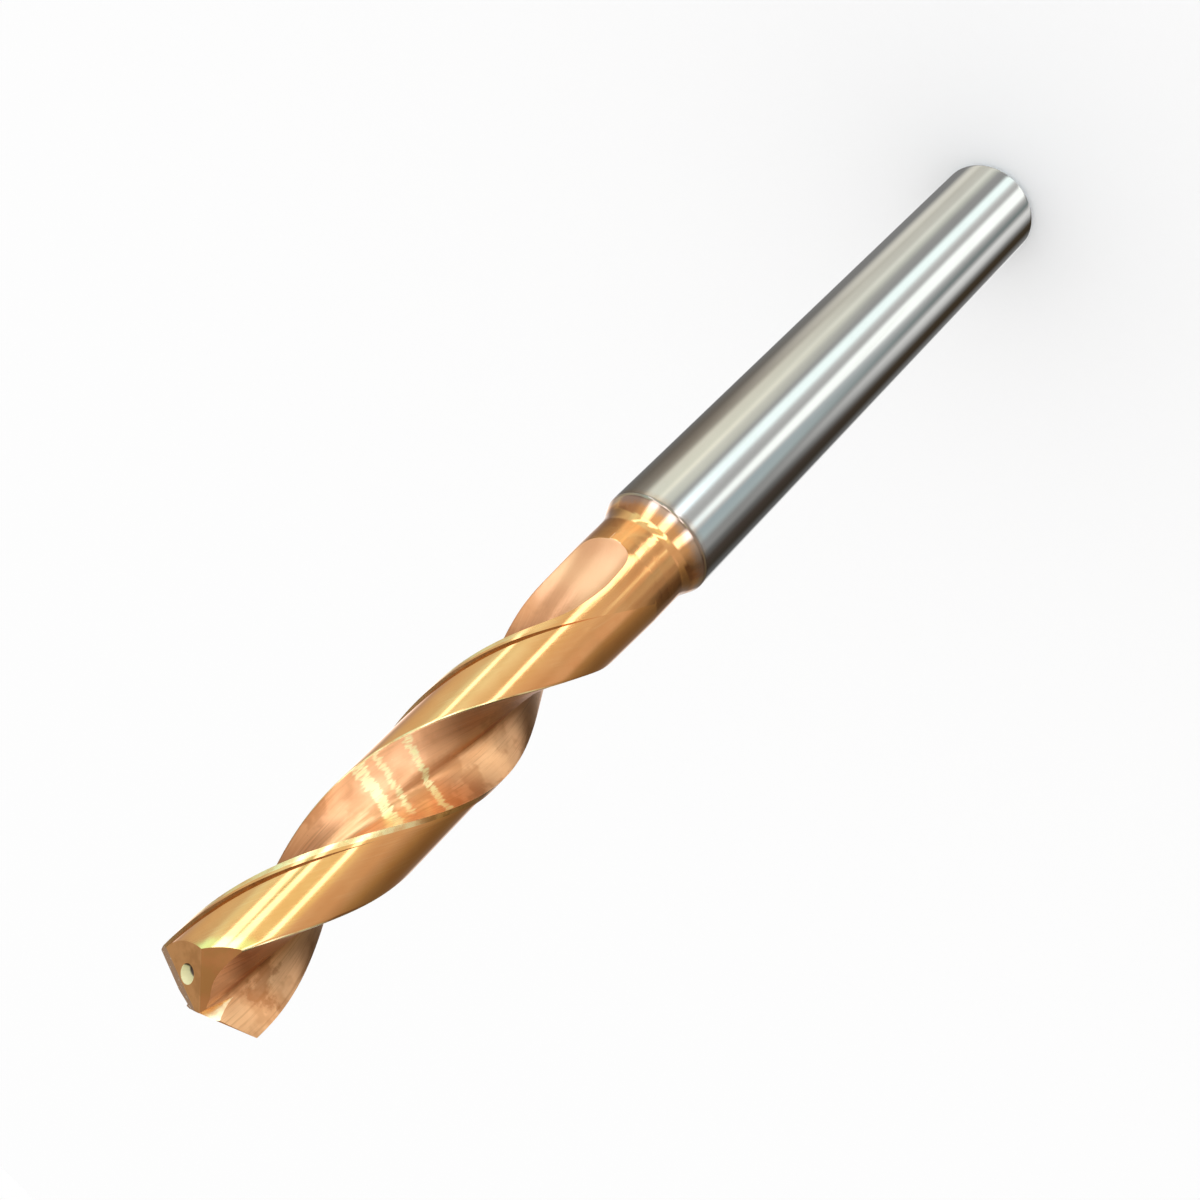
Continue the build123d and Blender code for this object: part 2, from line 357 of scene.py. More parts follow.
# End face of the point.
m, t, b, (obj, z, across, down, lines, cloud, cloud2), col, rr, nrm = coating(
    "coating_flank", (0.58, 0.245, 0.085, 1), (0.47, 0.19, 0.06, 1), 0.24, 0.3, 0.00002)
stain = t.noise(obj, 620.0, 3.0, 0.6)
col = t.mix(t.math("MULTIPLY", t.rise(stain, 0.44, 0.64), 0.5), col, (0.44, 0.22, 0.065, 1))
# painted light: facets facing this steeply (normal z 0.50 to 0.72) get a brighter copy of the coating, making up for
# the dim part of the room they mirror
facing = t.node("SeparateXYZ")
t.put(facing.inputs[0], t.node("TexCoord").outputs["Normal"])
heel = t.band(facing.outputs["Z"], 0.50, 0.72, 0.04)
facet_painted_light = t.mix(t.rise(stain, 0.42, 0.66), (0.96, 0.47, 0.17, 1), (0.76, 0.35, 0.115, 1))
col = t.mix(heel, facet_painted_light, col)
t.put(b.inputs["Base Color"], col)
t.put(b.inputs["Roughness"], t.math("ADD", rr, 0.06))
t.put(b.inputs["Normal"], nrm)
finish[M_FLANK] = m

m, t, b = new_material("ground_carbide")
obj, z, across, down = coords(t)
zmm = height_mm(t, z)
rings = t.noise(combine(t, t.math("MULTIPLY", across, 0.08), t.math("MULTIPLY", down, 14.0)), 1.0, 3.0, 0.6)
streaks = t.noise(combine(t, t.math("MULTIPLY", across, 1.3), t.math("MULTIPLY", down, 0.05), 5.0), 1.0, 3.0, 0.6)
col = t.mix(t.noise(obj, 240.0, 3.0), (0.60, 0.60, 0.58, 1), (0.66, 0.66, 0.64, 1))
col = t.mix(t.math("MULTIPLY", t.rise(streaks, 0.55, 0.75), 0.22), col, (0.52, 0.51, 0.47, 1))
ragged = t.noise(obj, 700.0, 3.0, 0.6)
edge = t.math("ADD", zmm, t.math("MULTIPLY", t.math("SUBTRACT", ragged, 0.5), 0.9))
col = t.mix(t.math("MULTIPLY", t.rise(edge, 56.0, 57.1), 0.85), col, (0.60, 0.46, 0.36, 1))
# painted shade: the rounded edge at the end of the shank is painted dark brown to dim the highlight it catches
rim_painted_shade = t.band(zmm, 56.76, 57.16, 0.10)
col = t.mix(t.math("MULTIPLY", rim_painted_shade, 0.64), col, (0.26, 0.18, 0.13, 1))
t.put(b.inputs["Base Color"], col)
t.put(b.inputs["Roughness"], t.math("MULTIPLY_ADD", rings, 0.06, 0.10))
t.put(b.inputs["Normal"], bump(t, rings, 0.15, 0.000004))
finish[M_SHANK] = m

# Coolant channel: pale cream painted where it opens into the end face as a painted highlight, and dark painted further
# in and along one side as painted shade.
m, t, b = new_material("channel_wall")
obj, z, across, down = coords(t)
sep = t.node("SeparateXYZ")
t.put(sep.inputs[0], obj)
fall = t.math("ADD", t.math("MULTIPLY", t.math("ABSOLUTE", sep.outputs["X"]), 364.0),
              t.math("MULTIPLY", t.math("ABSOLUTE", sep.outputs["Y"]), 520.6))
depth = t.math("SUBTRACT", t.math("SUBTRACT", 107.1186, fall), height_mm(t, z))
mottle = t.noise(obj, 1400.0, 2.0)
painted_highlight_wall = t.mix(mottle, (1.0, 0.98, 0.60, 1), (0.97, 0.90, 0.48, 1))
painted_shade_wall = t.mix(mottle, (0.06, 0.03, 0.015, 1), (0.12, 0.07, 0.035, 1))
# painted shade: a dark crescent along one side of the channel's mouth
lean = t.math("MULTIPLY", t.math("SIGN", sep.outputs["X"]), t.math("MULTIPLY", sep.outputs["Y"], -500.0))
lean = t.math("SUBTRACT", lean, t.math("MULTIPLY", height_mm(t, z), 0.865))
t.put(b.inputs["Base Color"], t.mix(t.math("MAXIMUM", t.rise(depth, 0.56, 0.68), t.rise(lean, -90.80, -90.66)), painted_highlight_wall, painted_shade_wall))
b.inputs["Metallic"].default_value = 0.0
b.inputs["Roughness"].default_value = 0.45
finish[M_BORE] = m

m, t, b = new_material("rear_face")
obj, z, across, down = coords(t)
face_lines = t.noise(t.stretch(obj, (9000.0, 500.0, 1.0)), 1.0, 3.0, 0.6)
col = t.mix(t.noise(obj, 700.0), (0.50, 0.50, 0.49, 1), (0.60, 0.60, 0.58, 1))
t.put(b.inputs["Base Color"], t.mix(t.math("MULTIPLY", face_lines, 0.4), col, (0.44, 0.43, 0.41, 1)))
t.put(b.inputs["Roughness"], t.math("MULTIPLY_ADD", face_lines, 0.15, 0.24))
t.put(b.inputs["Normal"], bump(t, face_lines, 0.3, 0.00001))
finish[M_REAR] = m

# Facet along the lips: olive grey with small bright specks, painted glints.
m, t, b = new_material("lip_facet")
obj, z, across, down = coords(t)
grit = t.noise(obj, 2600.0, 3.0, 0.7)
col = t.mix(t.noise(obj, 1100.0, 2.0), (0.60, 0.34, 0.15, 1), (0.74, 0.40, 0.19, 1))
painted_glint = t.rise(grit, 0.60, 0.68)
t.put(b.inputs["Base Color"], t.mix(painted_glint, col, (1.0, 0.90, 0.74, 1)))
t.put(b.inputs["Roughness"], t.math("MULTIPLY_ADD", painted_glint, 0.35, 0.26))
t.put(b.inputs["Normal"], bump(t, grit, 0.5, 0.00003))
finish[M_LIP] = m

# Margins and the dressed heel edges: painted paler than the lands, a painted highlight along the edges.
m, t, b = new_material("margin")
obj, z, across, down = coords(t)
zmm = height_mm(t, z)
wear_and_highlight_noise = t.noise(obj, 1000.0, 4.0, 0.65)
run = t.noise(combine(t, t.math("MULTIPLY", across, 6.0), t.math("MULTIPLY", down, 0.5)), 1.0, 3.0, 0.6)
col = t.mix(t.rise(wear_and_highlight_noise, 0.38, 0.66), (1.0, 0.80, 0.40, 1), (0.94, 0.56, 0.24, 1))
fade = t.math("SUBTRACT", 1.0, t.rise(t.math("ADD", zmm, t.math("MULTIPLY", wear_and_highlight_noise, 3.0)), 73.5, 78.5))
col = t.mix(fade, col, (0.90, 0.44, 0.165, 1))
sep = t.node("SeparateXYZ")
t.put(sep.inputs[0], obj)
# painted shade: between 77 and 89 mm up the margins are painted darker on one side of the drill
painted_side_shade = t.math("MULTIPLY", t.band(zmm, 77.0, 88.9, 0.9), t.rise(sep.outputs["X"], 0.0003, -0.0006))
col = t.mix(painted_side_shade, col, t.mix(t.rise(wear_and_highlight_noise, 0.42, 0.60), (0.80, 0.42, 0.15, 1), (0.52, 0.25, 0.08, 1)))
t.put(b.inputs["Base Color"], col)
t.put(b.inputs["Roughness"], t.math("MULTIPLY_ADD", wear_and_highlight_noise, 0.12, 0.12))
t.put(b.inputs["Normal"], bump(t, run, 0.3, 0.00001))
finish[M_MARGIN] = m

# Step behind the margin: painted shade, a dark brown line in the corner of the step.
m, t, b = new_material("margin_step")
obj, z, across, down = coords(t)
t.put(b.inputs["Base Color"], t.mix(t.noise(obj, 1800.0, 3.0), (0.20, 0.13, 0.05, 1), (0.42, 0.24, 0.10, 1)))
b.inputs["Roughness"].default_value = 0.5
finish[M_STEP] = m

# Wall of the gash beside the lip: painted pale cream, a painted highlight.
m, t, b = new_material("gash_wall")
obj, z, across, down = coords(t)
t.put(b.inputs["Base Color"], t.mix(t.rise(t.noise(obj, 1700.0, 3.0), 0.4, 0.62), (1.0, 0.93, 0.58, 1), (0.93, 0.70, 0.38, 1)))
b.inputs["Roughness"].default_value = 0.42
finish[M_GASH] = m

# ------------------------------------------------------------------ fluted body
NF, NL, NM = 60, 30, 8            # columns across a flute, a land and a margin
HALF = NF + 1 + NL + 1 + (NM - 1)
NC = 2 * HALF
HEEL_ROUND = 0.125                # dressed heel edge, mm to each side
_last = {}


def flute_curve(dist):
    """Angles ahead of the flute's own base and radii, from the leading edge to the heel."""
    k, kw, lift = smooth_rows(RUNOUT, dist) if dist > 32 else lerp(RUNOUT, dist)
    low = min(R, R * smooth_rows([(37.0, RELIEF_R), (43.5, 1.004)], dist, 0.5)[0])
    ang = np.array([FLUTE_MID + (a - FLUTE_MID) * kw for a, _ in FLUTE])
    rad = np.array([R * (1 - (1 - r) * k + lift if r < 1 else r + lift) for _, r in FLUTE])
    xy = np.stack([rad * np.cos(np.radians(ang)), rad * np.sin(np.radians(ang))], 1)
    s = np.concatenate([[0], np.cumsum(np.linalg.norm(np.diff(xy, axis=0), axis=1))])
    t = np.linspace(0, s[-1], 1600)
    p = cubic(s, xy)(t)
    rr = np.hypot(p[:, 0], p[:, 1])
    aa = np.degrees(np.unwrap(np.arctan2(p[:, 1], p[:, 0])))
    inside = np.nonzero(rr < R)[0]
    if len(inside) < 6:
        return None, low
    i = inside[0]
    f = (rr[i - 1] - R) / (rr[i - 1] - rr[i])
    t0 = t[i - 1] + f * (t[i] - t[i - 1])
    below = np.nonzero(rr < low)[0]
    if len(below) < 4:
        return None, low
    j = below[-1]
    f = (low - rr[j]) / (rr[j + 1] - rr[j])
    t1 = t[j] + f * (t[j + 1] - t[j])
    u = np.linspace(0, 1, NF + 1)
    tt = t0 + (t1 - t0) * u
    tt[-2] = t1 - HEEL_ROUND * (t1 - t0) / 9.3
    q = cubic(s, xy)(tt)
    qr = np.hypot(q[:, 0], q[:, 1])
    qa = np.degrees(np.unwrap(np.arctan2(q[:, 1], q[:, 0])))
    qr[0], qr[-1] = R, low
    return (qa, np.minimum(qr, R), tt - t0), low


def ring(dist):
    """One row of the fluted body: angles (degrees), radii and the across coordinate, mm."""
    curve, low = flute_curve(dist)
    if curve is None:
        qa, _, acr = _last["curve"]
        curve = (qa, np.full(NF + 1, R), acr)
        low = R
    else:
        _last["curve"] = curve
    qa, qr, acr = curve
    ang, rad, fa, la = [], [], [], []
    for h in (0, 1):
        base = LIP_DEG + 180 * h + twist(dist)
        nxt = base + 180
        heel = base + qa[-1]
        step = LIP_DEG + 180 * (h + 1) - 360.0 * dist / LEAD - MARGIN_DEG
        lead = nxt + qa[0]
        step = min(step, lead - 2.0)
        if step < heel + 4:
            step = heel + 4
        first = heel + degrees(HEEL_ROUND / R)
        p0 = np.array([qr[-2] * cos(radians(base + qa[-2])), qr[-2] * sin(radians(base + qa[-2]))])
        p1 = np.array([low * cos(radians(first)), low * sin(radians(first))])
        pc = np.array([low * cos(radians(heel)), low * sin(radians(heel))])
        pc = 0.55 * pc + 0.225 * (p0 + p1)            # the rounded corner
        a = list(base + qa[:-1]) + [base + qa[-1] + (degrees(atan2(pc[1], pc[0])) - heel + 180) % 360 - 180]
        a += [first] + list(np.linspace(first, step, NL)[1:]) + [step + 0.12]
        a += list(np.linspace(step + 0.12, lead, NM + 1)[1:-1])
        r = list(qr[:-1]) + [float(np.hypot(*pc))] + [low] * NL + [R] + [R] * (NM - 1)
        ang += a
        rad += r
        fa += list(acr) + [0.0] * (HALF - NF - 1)
        la += [-(lead - x) * pi / 180 * R for x in a]
    return np.array(ang), np.array(rad), np.array(fa), np.array(la)


dists = list(np.arange(-3.6, 33.0, 0.25)) + list(np.arange(33.0, 42.6, 0.2)) + list(np.arange(42.6, 44.7, 0.1))
rows = []                        # (z, angles, radii, flute across, land across)
for dist in dists:
    a, r, fa, la = ring(dist)
    rows.append((Z_CORNER - dist, a, r, fa, la))

a_end = rows[-1][1]
a_even = np.linspace(0, 360, NC + 1)[:-1]
a_even = a_even + (a_end - a_even).mean()
z_end = rows[-1][0]
lows = [60.3, 59.8, 59.5, 59.32, 59.2, 59.0, 58.8, 58.6, 58.4, 58.25, 58.10, 57.8, 57.5, 57.3, 57.175,
        57.11, 57.05, 56.99, 56.93, 56.87, 56.809, 56.6, 55.5, 52.0, 46.0, 40.0, 34.0, 28.0, 22.0,
        16.0, 10.0, 5.0, 2.0, 1.0, 0.72, 0.66, 0.61, 0.57, 0.52, 0.3, 0.12, 0.06, 0.03, 0.0]
for z in lows:
    s = min(1.0, (z_end - z) / 3.2)
    s = s * s * (3 - 2 * s)
    a = a_end + (a_even - a_end) * s
    if z > 0.75 or 0.15 < z < 0.5:
        r = profile(z)
    elif z > 0.5:                # rounded corner between the chamfer and the cylinder
        r = {0.72: 4.998, 0.66: 4.990, 0.61: 4.974, 0.57: 4.950, 0.52: 4.915}[z]
    else:
        r = {0.12: 4.512, 0.06: 4.440, 0.03: 4.395, 0.0: 4.330}[z]
    rows.append((z, a, np.full(NC, r), np.zeros(NC), np.radians(a) * R))

verts = []
for z, a, r, _, _ in rows:
    t = np.radians(a)
    verts += list(zip(r * np.cos(t), r * np.sin(t), np.full(NC, z)))
nr = len(rows)
faces, mats, uvs, kinds = [], [], [], []
STEP_COLS, LEAD_COLS, HEEL_COLS = set(), set(), set()
for h in (0, 1):
    LEAD_COLS.add(h * HALF)
    HEEL_COLS.add(h * HALF + NF)
    STEP_COLS.add(h * HALF + NF + NL)
    STEP_COLS.add(h * HALF + NF + NL + 1)
along = np.array([(Z_CORNER - z) * 1.145 for z, *_ in rows])
n_fl = len(dists)
EDGE_END = 35.0                   # margins and dressed edges end here, mm below the lip corners
wheel = []                        # second map: along the way the grinding wheel ran


def wheel_uv(row, col, across, dist):
    """The wheel stood tilted to the axis by the helix angle, facing the middle of the flute."""
    z, a, r = rows[row][:3]
    phi = radians(LIP_DEG + 180 * (col // HALF) + twist(dist) + FLUTE_MID)
    x, y = r[col] * cos(radians(a[col])), r[col] * sin(radians(a[col]))
    tilt = radians(30.0)
    return across, z * cos(tilt) + sin(tilt) * (y * cos(phi) - x * sin(phi))


for i in range(nr - 1):
    z0, a0, r0, fa0, la0 = rows[i]
    z1, a1, r1, fa1, la1 = rows[i + 1]
    for c in range(NC):
        d = (c + 1) % NC
        faces.append((i * NC + c, (i + 1) * NC + c, (i + 1) * NC + d, i * NC + d))
        in_flute = (c % HALF) < NF
        zm = 0.5 * (z0 + z1)
        if i < n_fl - 1 and in_flute:
            cutting = min(r0[c], r1[c], r0[d], r1[d]) < R - 1e-4
            mats.append((M_MARGIN if c % HALF == NF - 1 and dists[i] < EDGE_END else M_FLUTE) if cutting else M_LAND)
            q = [(fa0[c], along[i]), (fa1[c], along[i + 1]), (fa1[d], along[i + 1]), (fa0[d], along[i])]
        else:
            k = c % HALF
            if i < n_fl - 1 and dists[i] < EDGE_END and (k == NF or k > NF + NL + 3):
                mats.append(M_MARGIN)
            elif i < n_fl - 1 and dists[i] < EDGE_END and k == NF + NL:
                mats.append(M_STEP)
            else:
                mats.append(M_LAND if zm > 56.95 else M_SHANK)
            wrap = 0.0 if d else 2 * pi * R
            e0, e1 = la0[d], la1[d]
            if i < n_fl - 1 and (d % HALF) == 0:
                e0 = e1 = 0.0            # the next leading edge
            elif i >= n_fl - 1:
                e0, e1 = e0 + wrap, e1 + wrap
            q = [(la0[c], along[i]), (la1[c], along[i + 1]), (e1, along[i + 1]), (e0, along[i])]
        uvs.append(q)
        if i < n_fl - 1 and in_flute:
            wheel.append([wheel_uv(i, c, fa0[c], dists[i]), wheel_uv(i + 1, c, fa1[c], dists[i + 1]),
                          wheel_uv(i + 1, d, fa1[d], dists[i + 1]), wheel_uv(i, d, fa0[d], dists[i])])
        else:
            wheel.append(q)
faces.append(tuple(range(NC)))
mats.append(M_FLANK)
uvs.append([(verts[v][0], verts[v][1]) for v in faces[-1]])
faces.append(tuple(range((nr - 1) * NC + NC - 1, (nr - 1) * NC - 1, -1)))
mats.append(M_REAR)
uvs.append([(verts[v][0], verts[v][1]) for v in faces[-1]])

me = bpy.data.meshes.new("drill_body")
me.from_pydata(verts, [], faces)
for m in finish:
    me.materials.append(m)
me.polygons.foreach_set("material_index", mats)
me.polygons.foreach_set("use_smooth", [True] * len(faces))
uv = me.uv_layers.new(name="grain")
uv.data.foreach_set("uv", np.array([p for q in uvs for p in q], np.float32).ravel() * 0.1)
wheel += uvs[len(wheel):]
uv2 = me.uv_layers.new(name="wheel")
uv2.data.foreach_set("uv", np.array([p for q in wheel for p in q], np.float32).ravel() * 0.1)
me.update()

bm = bmesh.new()
bm.from_mesh(me)
bm.verts.ensure_lookup_table()
# crisp lines of the ground body: leading edges and margin steps
special = LEAD_COLS | STEP_COLS
for e in bm.edges:
    i, j = sorted(v.index for v in e.verts)
    if i % NC == j % NC and (i % NC) in special and j // NC < n_fl and len(e.link_faces) == 2:
        if e.calc_face_angle(0.0) > radians(7):
            e.smooth = False

# ------------------------------------------------------------------ point facets
t1, t2, t3 = (tan(radians(a)) for a in (12.0, 27.5, 51.8))


def cut(normal, origin, turn, slot=M_FLANK):
    rot = Matrix.Rotation(radians(turn), 3, "Z")
    n = (rot @ Vector(normal)).normalized()
    o = rot @ Vector(origin)
    res = bmesh.ops.bisect_plane(bm, geom=bm.verts[:] + bm.edges[:] + bm.faces[:], dist=1e-5,
                                 plane_co=o, plane_no=n, clear_outer=True)
    edges = [g for g in res["geom_cut"] if isinstance(g, bmesh.types.BMEdge)]
    edges = [e for e in edges if e.is_valid and e.is_boundary]
    made = bmesh.ops.edgeloop_fill(bm, edges=edges, mat_nr=slot, use_smooth=True)["faces"]
    for f in made:
        f.material_index = slot
        for e in f.edges:
            e.smooth = False
    return len(made)


n_made = []
for turn in (0, 180):
    n_made.append(cut((TAN_P, -t1, 1), (XC, LIP_AHEAD, Z_CORNER), turn, M_LIP))
    n_made.append(cut((TAN_P, -t2, 1), (0, LIP_AHEAD - 0.98, Z_CORNER + TAN_P * XC - t1 * 0.98), turn))
    n_made.append(cut((-0.40, -t3, 1), (0.467 * R, LIP_AHEAD - 0.967 * R, Z_CORNER - 0.2835 * R), turn))
bmesh.ops.remove_doubles(bm, verts=bm.verts[:], dist=2e-4)
bmesh.ops.dissolve_degenerate(bm, edges=bm.edges[:], dist=1e-5)
bmesh.ops.recalc_face_normals(bm, faces=bm.faces[:])
print("facets", n_made, "open edges", sum(1 for e in bm.edges if len(e.link_faces) != 2))
bm.to_mesh(me)
bm.free()

body = bpy.data.objects.new("drill_body", me)
sc.collection.objects.link(body)

# ------------------------------------------------------------------ gash and coolant channels
cutters = []


def cutter(name, vs, fs, mat):
    m = bpy.data.meshes.new(name)
    m.from_pydata([tuple(v) for v in vs], [], fs)
    m.update()
    b = bmesh.new()
    b.from_mesh(m)
    bmesh.ops.recalc_face_normals(b, faces=b.faces[:])
    b.to_mesh(m)
    b.free()
    m.uv_layers.new(name="grain")
    m.uv_layers.new(name="wheel")
    for k in finish:
        m.materials.append(k)
    m.polygons.foreach_set("material_index", mat if isinstance(mat, list) else [mat] * len(m.polygons))
    o = bpy.data.objects.new(name, m)
    sc.collection.objects.link(o)
    cutters.append(o)
    return o


root = Vector((0.64, 0.35, Z_CORNER + 0.905))
run = Vector((0.353, 0.093, -0.931)).normalized()
lip_wall = -run.cross(Vector((0.31, 0.105, -0.09))).normalized()
heel_wall = run.cross(Vector((0.45, 0.70, -1.14))).normalized()
d1 = run.cross(lip_wall).normalized()
d1 = d1 if d1.dot(heel_wall) > 0 else -d1
d2 = run.cross(heel_wall).normalized()
d2 = d2 if d2.dot(lip_wall) > 0 else -d2
for turn in (0, 180):
    rot = Matrix.Rotation(radians(turn), 3, "Z")
    pts = []
    for s in (-9.0, 9.0):
        o = root + run * s
        pts += [rot @ o, rot @ (o + d1 * 14), rot @ (o + d2 * 14)]
    cutter("gash_%d" % turn, pts, [(0, 1, 2), (3, 5, 4), (0, 3, 4, 1), (1, 4, 5, 2), (2, 5, 3, 0)],
           [M_FLANK, M_FLANK, M_GASH, M_FLANK, M_FLANK])
for side in (0, 180):
    ns, vs, fs = 32, [], []
    zs = np.arange(-1.0, 108.6, 0.75)
    for z in zs:
        a = radians(LIP_DEG - COOLANT_BEHIND + side + 360.0 * (z - Z_CORNER) / LEAD)
        for k in range(ns):
            b = a + 2 * pi * k / ns
            vs.append((COOLANT_R * cos(a) + COOLANT_HOLE * cos(b), COOLANT_R * sin(a) + COOLANT_HOLE * sin(b), z))
    for i in range(len(zs) - 1):
        for k in range(ns):
            l = (k + 1) % ns
            fs.append((i * ns + k, i * ns + l, (i + 1) * ns + l, (i + 1) * ns + k))
    fs.append(tuple(range(ns - 1, -1, -1)))
    fs.append(tuple((len(zs) - 1) * ns + k for k in range(ns)))
    cutter("coolant_%d" % side, vs, fs, M_BORE)
for o in cutters:
    m = body.modifiers.new(o.name, "BOOLEAN")
    m.operation, m.object, m.solver = "DIFFERENCE", o, "EXACT"
    m.material_mode = "INDEX"
dg = bpy.context.evaluated_depsgraph_get()
done = bpy.data.meshes.new_from_object(body.evaluated_get(dg), preserve_all_data_layers=True, depsgraph=dg)
body.modifiers.clear()
for o in cutters:
    bpy.data.objects.remove(o)
old = body.data
body.data = done
bpy.data.meshes.remove(old)
me = body.data

bm = bmesh.new()
bm.from_mesh(me)
bmesh.ops.dissolve_degenerate(bm, edges=bm.edges[:], dist=1e-5)
for f in bm.faces:
    f.smooth = True
bm.normal_update()
for e in bm.edges:
    if len(e.link_faces) == 2:
        f, g = e.link_faces
        if e.calc_face_angle(0.0) > radians(42):
            e.smooth = False
        elif {M_FLANK, M_LIP, M_GASH} & {f.material_index, g.material_index} and e.calc_face_angle(0.0) > radians(3):
            e.smooth = False
        elif M_REAR in (f.material_index, g.material_index):
            e.smooth = False
print("body", len(bm.verts), len(bm.faces), "open edges", sum(1 for e in bm.edges if len(e.link_faces) != 2),
      "triangles", sum(len(f.verts) - 2 for f in bm.faces),
      "by slot", [sum(1 for f in bm.faces if f.material_index == k) for k in range(10)])
bm.to_mesh(me)
bm.free()
me.transform(Matrix.Scale(0.001, 4))
me.update()
body.name = "carbide_drill_body"



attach(body, "root")
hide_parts(NODE)

# ------------------------------------------------------------------ camera
cam = bpy.data.cameras.new("camera")
cam.sensor_width, cam.lens = 36.0, 43.5
cam.clip_start, cam.clip_end = 0.005, 50.0
cam_ob = bpy.data.objects.new("camera", cam)
sc.collection.objects.link(cam_ob)
right = Vector((-0.72635303, -0.31871594, -0.60895929))
down_v = Vector((-0.68597714, 0.39154952, 0.61328976))
ahead = Vector((0.04297249, 0.86319704, -0.50303503))
mat4 = Matrix((right, -down_v, -ahead)).transposed().to_4x4()
mat4.translation = Vector((-0.00492465, -0.09831589, 0.12163691))
cam_ob.matrix_world = mat4
sc.camera = cam_ob

# ------------------------------------------------------------------ studio
# Floor and room are one pale tone. What the metal mirrors is a ring of soft boxes
# and dark cards round the object: bearing is measured in degrees from the camera's
# side, positive clockwise seen from above, and height is above the horizon.
floor_me = bpy.data.meshes.new("floor")
floor_me.from_pydata([(-12, -12, 0), (12, -12, 0), (12, 12, 0), (-12, 12, 0)], [], [(0, 1, 2, 3)])
floor = bpy.data.objects.new("floor", floor_me)
sc.collection.objects.link(floor)
fm = bpy.data.materials.new("floor_paint")
fm.use_nodes = True
b = fm.node_tree.nodes["Principled BSDF"]
b.inputs["Base Color"].default_value = (0.985, 0.985, 0.985, 1)
b.inputs["Roughness"].default_value = 1.0
b.inputs["Specular IOR Level"].default_value = 0.0
floor_me.materials.append(fm)
floor.visible_glossy = False

world = bpy.data.worlds.new("studio")
sc.world = world
world.use_nodes = True
world.node_tree.nodes.clear()
t = Tree(world.node_tree)
tc = t.node("TexCoord")
sep = t.node("SeparateXYZ")
t.put(sep.inputs[0], tc.outputs["Generated"])
theta = t.math("ARCTAN2", sep.outputs["Y"], sep.outputs["X"])
turn = t.math("FRACT", t.math("MULTIPLY_ADD", theta, -1 / (2 * pi), (180 - 92.85) / 360))
bearing = t.math("MULTIPLY_ADD", turn, 360.0, -180.0)
height = t.math("MULTIPLY", t.math("ARCSINE", sep.outputs["Z"]), 180 / pi)


def ring_of_tones(stops):
    n = t.node("ValToRGB")
    t.put(n.inputs[0], turn)
    el = n.color_ramp.elements
    while len(el) > 1:
        el.remove(el[0])
    for i, (a, v) in enumerate(stops):
        e = el[0] if i == 0 else el.new((a + 180) / 360)
        e.position = (a + 180) / 360
        c = v if isinstance(v, tuple) else (v, v, v)
        e.color = tuple(x * 0.5 for x in c) + (1,)
    return n.outputs[0]


low_ring = ring_of_tones([
    (-180, 0.9), (-168, 0.9), (-160, 0.25), (-122, 0.30), (-104, (1.0, 0.97, 0.88)), (-94, (0.98, 0.95, 0.85)),
    (-88, (0.76, 0.74, 0.66)), (-68, (0.82, 0.81, 0.74)), (-60, (1.1, 1.1, 1.0)), (-50, (0.75, 0.77, 0.7)),
    (-40, 0.45), (-27, 0.40), (2, 0.85), (8, 0.66), (42, 0.84), (50, 0.50), (60, (0.20, 0.25, 0.25)),
    (66, 0.5), (73, 1.1), (84, 0.85), (95, 0.27), (106, (0.07, 0.05, 0.03)), (122, (0.05, 0.035, 0.02)), (140, 0.22), (150, 0.2), (158, 1.0),
    (172, 1.0), (180, 0.9)])
mid_ring = ring_of_tones([
    (-180, 0.7), (-168, 0.7), (-160, 0.2), (-122, (0.2, 0.17, 0.14)), (-100, (0.32, 0.27, 0.22)), (-90, (0.45, 0.40, 0.33)),
    (-80, (1.05, 1.0, 0.85)), (-62, (1.05, 1.03, 0.87)), (-54, (1.35, 1.3, 1.1)), (-48, (0.98, 0.96, 0.85)),
    (-36, (0.85, 0.85, 0.75)), (-28, 0.5), (2, 0.75), (12, 0.58), (20, 0.66), (36, 0.75), (42, (0.50, 0.60, 0.64)),
    (56, (0.58, 0.68, 0.70)), (66, 0.38), (78, 0.38), (86, 0.18), (100, (0.08, 0.06, 0.05)), (122, (0.05, 0.04, 0.03)),
    (140, 0.14), (150, 0.14), (158, 0.9), (172, 0.9), (180, 0.7)])
high_ring = ring_of_tones([
    (-180, 1.6), (-168, 1.6), (-150, 0.9), (-141, 0.5), (-118, (0.68, 0.75, 0.66)), (-104, (0.74, 0.86, 0.82)),
    (-84, (0.74, 0.96, 1.0)), (-76, (0.85, 1.3, 1.45)), (-68, (0.92, 1.35, 1.4)), (-57, (0.88, 1.2, 1.25)),
    (-48, (0.96, 1.35, 1.45)), (-39, (0.93, 1.22, 1.3)), (-27, (0.86, 1.05, 1.05)), (-20, (0.84, 0.98, 0.95)),
    (5, (0.82, 0.90, 0.85)), (14, (0.80, 0.85, 0.86)), (24, (0.76, 0.80, 0.82)), (36, 0.68), (50, 0.67), (62, 0.55),
    (74, (0.44, 0.43, 0.37)), (84, (0.36, 0.34, 0.25)), (95, (0.27, 0.25, 0.19)), (110, (0.21, 0.19, 0.13)),
    (126, (0.2, 0.18, 0.13)), (150, 0.25), (158, 0.8), (172, 0.8), (180, 1.6)])
step_ring = ring_of_tones([(-180, 0.5), (-130, 0.30), (-110, 0.35), (-90, 0.52), (-70, 0.62), (-50, 0.8), (-30, 0.85),
                           (10, 0.62), (50, 0.57), (70, 0.30), (90, 0.13), (110, 0.11), (140, 0.3), (180, 0.5)])
sky_ring = ring_of_tones([(-180, 0.38), (-120, 0.42), (-80, 1.0), (-45, 1.2), (-20, 0.9), (30, 0.85), (70, 0.45),
                          (100, 0.37), (180, 0.38)])


